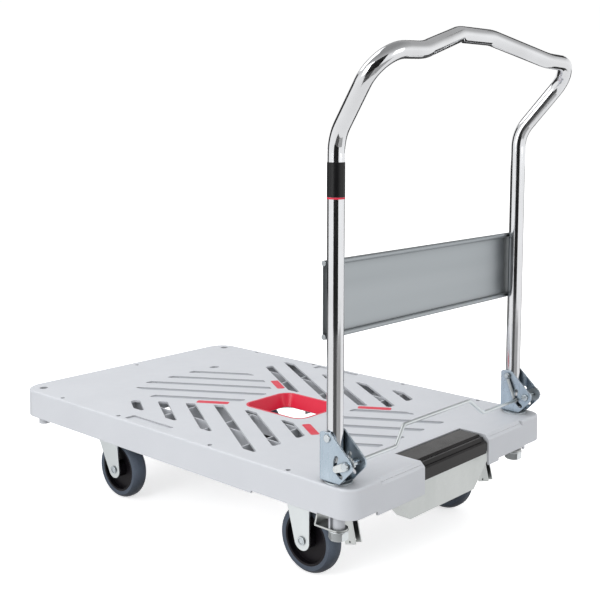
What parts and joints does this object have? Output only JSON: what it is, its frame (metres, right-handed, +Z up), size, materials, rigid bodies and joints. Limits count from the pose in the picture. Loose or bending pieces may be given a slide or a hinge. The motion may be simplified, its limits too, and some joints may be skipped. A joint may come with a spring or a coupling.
{
  "type": "folding platform cart",
  "caption": "Folding platform cart: moulded plastic deck with hand grip, fixed and swivel castors, fold-down tube handle with foot latch, and a foot brake pedal.",
  "frame": {"origin": "on the floor, under the middle of the cart's bounding box", "axes": "+X along the cart, away from the handle; +Y to the left side; +Z up"},
  "size_m": [1.004, 0.61, 0.9495],
  "materials": {
    "deck_plastic": "satin moulded plastic",
    "red_plastic": "smooth moulded plastic",
    "black_plastic": "smooth",
    "pedal_plastic": "gloss",
    "rim_plastic": "semi gloss",
    "tyre_rubber": "matt elastic rubber",
    "tube_chrome": "bright chrome plating",
    "panel_zinc": "zinc plated sheet",
    "zinc": "blue zinc plating",
    "galvanised": "galvanised sheet",
    "bearing_steel": "ground steel"
  },
  "bodies": {
    "base": {"deck": "deck_plastic", "grip_insert": "red_plastic", "accent_bars": "red_plastic", "pedal_housing": "galvanised", "underside_screws": "zinc", "castor_bolts": "zinc", "base_disc_left": "zinc", "hinge_bracket_left": "zinc", "hinge_bolt_left": "zinc", "hinge_nut_left": "zinc", "tie_plate_left": "galvanised", "pivot_rivet_left": "zinc", "latch_rivet_left": "zinc", "latch_spring_left": "zinc", "bar_bearing_left": "black_plastic", "fixed_fork_left": "zinc", "fixed_axle_left": "zinc", "swivel_plate_left": "zinc", "kingpin_left": "zinc", "base_disc_right": "zinc", "hinge_bracket_right": "zinc", "hinge_bolt_right": "zinc", "hinge_nut_right": "zinc", "tie_plate_right": "galvanised", "pivot_rivet_right": "zinc", "latch_rivet_right": "zinc", "latch_spring_right": "zinc", "bar_bearing_right": "black_plastic", "fixed_fork_right": "zinc", "fixed_axle_right": "zinc", "swivel_plate_right": "zinc", "kingpin_right": "zinc"},
    "handle": {"handle_tube": "tube_chrome", "post_plugs": "black_plastic", "post_band": "black_plastic", "band_ring": "red_plastic", "handle_panel": "panel_zinc"},
    "release": {"release_wire": "zinc", "latch_plates": "zinc"},
    "brake": {"pedal": "pedal_plastic", "brake_bar": "zinc", "brake_shoe_left": "galvanised", "brake_shoe_right": "galvanised"},
    "fixed_wheel_left": {"fixed_tyre_left": "tyre_rubber", "fixed_rim_left": "rim_plastic", "fixed_bearings_left": "bearing_steel"},
    "swivel_fork_left": {"swivel_fork_left": "zinc", "swivel_axle_left": "zinc"},
    "swivel_wheel_left": {"swivel_tyre_left": "tyre_rubber", "swivel_rim_left": "rim_plastic", "swivel_bearings_left": "bearing_steel"},
    "fixed_wheel_right": {"fixed_tyre_right": "tyre_rubber", "fixed_rim_right": "rim_plastic", "fixed_bearings_right": "bearing_steel"},
    "swivel_fork_right": {"swivel_fork_right": "zinc", "swivel_axle_right": "zinc"},
    "swivel_wheel_right": {"swivel_tyre_right": "tyre_rubber", "swivel_rim_right": "rim_plastic", "swivel_bearings_right": "bearing_steel"}
  },
  "joints": [
    {"name": "handle_fold", "type": "hinge", "parent": "base", "child": "handle", "pos_m": [-0.384, 0, 0.2865], "axis": [0, 1, 0], "range_deg": [0, 96]},
    {"name": "latch_release", "type": "hinge", "parent": "base", "child": "release", "pos_m": [-0.423, 0, 0.2485], "axis": [0, 1, 0], "range_deg": [0, 30], "stiffness_Nm_per_rad": 2, "springref_deg": -8.59, "deforming": ["latch_spring_left", "latch_spring_right"]},
    {"name": "brake_press", "type": "hinge", "parent": "base", "child": "brake", "pos_m": [-0.351, 0, 0.1625], "axis": [0, -1, 0], "range_deg": [0, 16.5], "stiffness_Nm_per_rad": 4, "springref_deg": -5.73},
    {"name": "fixed_wheel_roll_left", "type": "hinge", "parent": "base", "child": "fixed_wheel_left", "pos_m": [-0.271, 0.206, 0.0625], "axis": [0, 1, 0], "continuous": true},
    {"name": "castor_swivel_left", "type": "hinge", "parent": "base", "child": "swivel_fork_left", "pos_m": [0.309, 0.206, 0.1515], "axis": [0, 0, 1], "continuous": true},
    {"name": "swivel_wheel_roll_left", "type": "hinge", "parent": "swivel_fork_left", "child": "swivel_wheel_left", "pos_m": [0.266, 0.206, 0.0625], "axis": [0, 1, 0], "continuous": true},
    {"name": "fixed_wheel_roll_right", "type": "hinge", "parent": "base", "child": "fixed_wheel_right", "pos_m": [-0.271, -0.206, 0.0625], "axis": [0, 1, 0], "continuous": true},
    {"name": "castor_swivel_right", "type": "hinge", "parent": "base", "child": "swivel_fork_right", "pos_m": [0.309, -0.206, 0.1515], "axis": [0, 0, 1], "continuous": true},
    {"name": "swivel_wheel_roll_right", "type": "hinge", "parent": "swivel_fork_right", "child": "swivel_wheel_right", "pos_m": [0.266, -0.206, 0.0625], "axis": [0, 1, 0], "continuous": true}
  ]
}
